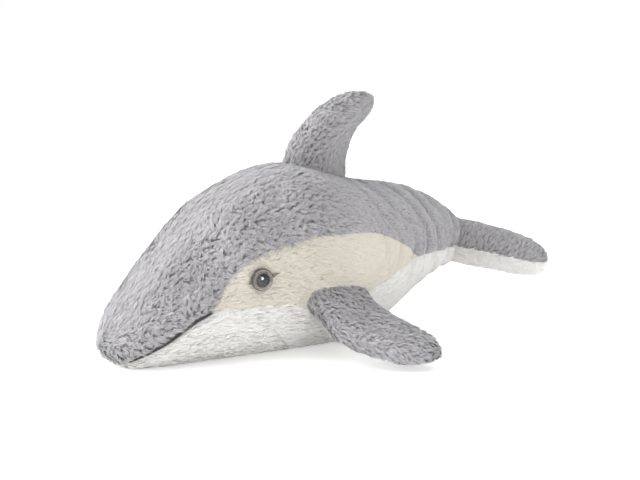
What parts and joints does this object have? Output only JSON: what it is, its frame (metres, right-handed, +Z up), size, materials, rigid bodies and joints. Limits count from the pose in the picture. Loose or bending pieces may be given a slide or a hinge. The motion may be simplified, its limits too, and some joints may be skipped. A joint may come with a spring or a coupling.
{
  "type": "plush toy dolphin",
  "caption": "Stuffed plush dolphin lying on its belly, with a grey back, cream flanks, a white belly, domed eyes, and a dorsal fin, flippers, tail and flukes that bend",
  "frame": {"origin": "centre of the base of the bounding box, on the surface that the toy lies on", "axes": "+X runs from the nose to the tail, +Z is up, and the left side faces -Y"},
  "size_m": [0.4604, 0.3544, 0.2532],
  "materials": {
    "grey_plush": "mottled grey short-pile faux fur, brushed towards the tail",
    "cream_plush": "cream short-pile faux fur",
    "white_plush": "white short-pile faux fur",
    "mouth_fold": "black woven lining, folded into the seam",
    "stuffing": "loose polyester fibre",
    "eye_iris": "brown painted plastic, dark at the rim",
    "eye_pupil": "black gloss",
    "eye_dome": "clear gloss dome",
    "eye_washer": "natural moulded plastic"
  },
  "bodies": {
    "torso": {"back_skin_left": "grey_plush", "back_skin_right": "grey_plush", "flank_patch_left": "cream_plush", "flank_patch_right": "cream_plush", "belly_skin": "white_plush", "mouth_fold_left": "mouth_fold", "mouth_fold_right": "mouth_fold", "body_stuffing": "stuffing", "eye_iris_left": "eye_iris", "eye_pupil_left": "eye_pupil", "eye_dome_left": "eye_dome", "eye_washer_left": "eye_washer", "eye_iris_right": "eye_iris", "eye_pupil_right": "eye_pupil", "eye_dome_right": "eye_dome", "eye_washer_right": "eye_washer"},
    "dorsal_fin": {"dorsal_fin_skin_left": "grey_plush", "dorsal_fin_skin_right": "grey_plush", "dorsal_fin_stuffing": "stuffing"},
    "left_flipper": {"flipper_top_left": "grey_plush", "flipper_underside_left": "grey_plush", "flipper_stuffing_left": "stuffing"},
    "right_flipper": {"flipper_top_right": "grey_plush", "flipper_underside_right": "grey_plush", "flipper_stuffing_right": "stuffing"},
    "tail": {"tail_skin_left": "grey_plush", "tail_skin_right": "grey_plush", "tail_underside": "white_plush", "tail_stuffing": "stuffing"},
    "flukes": {"fluke_top_left": "grey_plush", "fluke_top_right": "grey_plush", "fluke_underside_left": "white_plush", "fluke_underside_right": "white_plush", "fluke_stuffing": "stuffing"}
  },
  "joints": [
    {"name": "dorsal_fin_lean", "type": "hinge", "parent": "torso", "child": "dorsal_fin", "pos_m": [0.0112, 0, 0.192], "axis": [0.9799, 0, -0.1994], "range_deg": [-25, 25], "stiffness_Nm_per_rad": 0.3},
    {"name": "left_flipper_lift", "type": "hinge", "parent": "torso", "child": "left_flipper", "pos_m": [-0.0108, -0.091, 0.053], "axis": [-1, 0, 0], "range_deg": [-8, 55], "stiffness_Nm_per_rad": 0.4},
    {"name": "right_flipper_lift", "type": "hinge", "parent": "torso", "child": "right_flipper", "pos_m": [-0.0108, 0.091, 0.053], "axis": [1, 0, 0], "range_deg": [-8, 55], "stiffness_Nm_per_rad": 0.4},
    {"name": "tail_swing", "type": "hinge", "parent": "torso", "child": "tail", "pos_m": [0.1142, 0, 0.091], "axis": [0, 0, 1], "range_deg": [-15, 15], "stiffness_Nm_per_rad": 0.8},
    {"name": "fluke_nod", "type": "hinge", "parent": "tail", "child": "flukes", "pos_m": [0.1742, 0, 0.091], "axis": [0, -1, 0], "range_deg": [-25, 30], "stiffness_Nm_per_rad": 0.4}
  ]
}
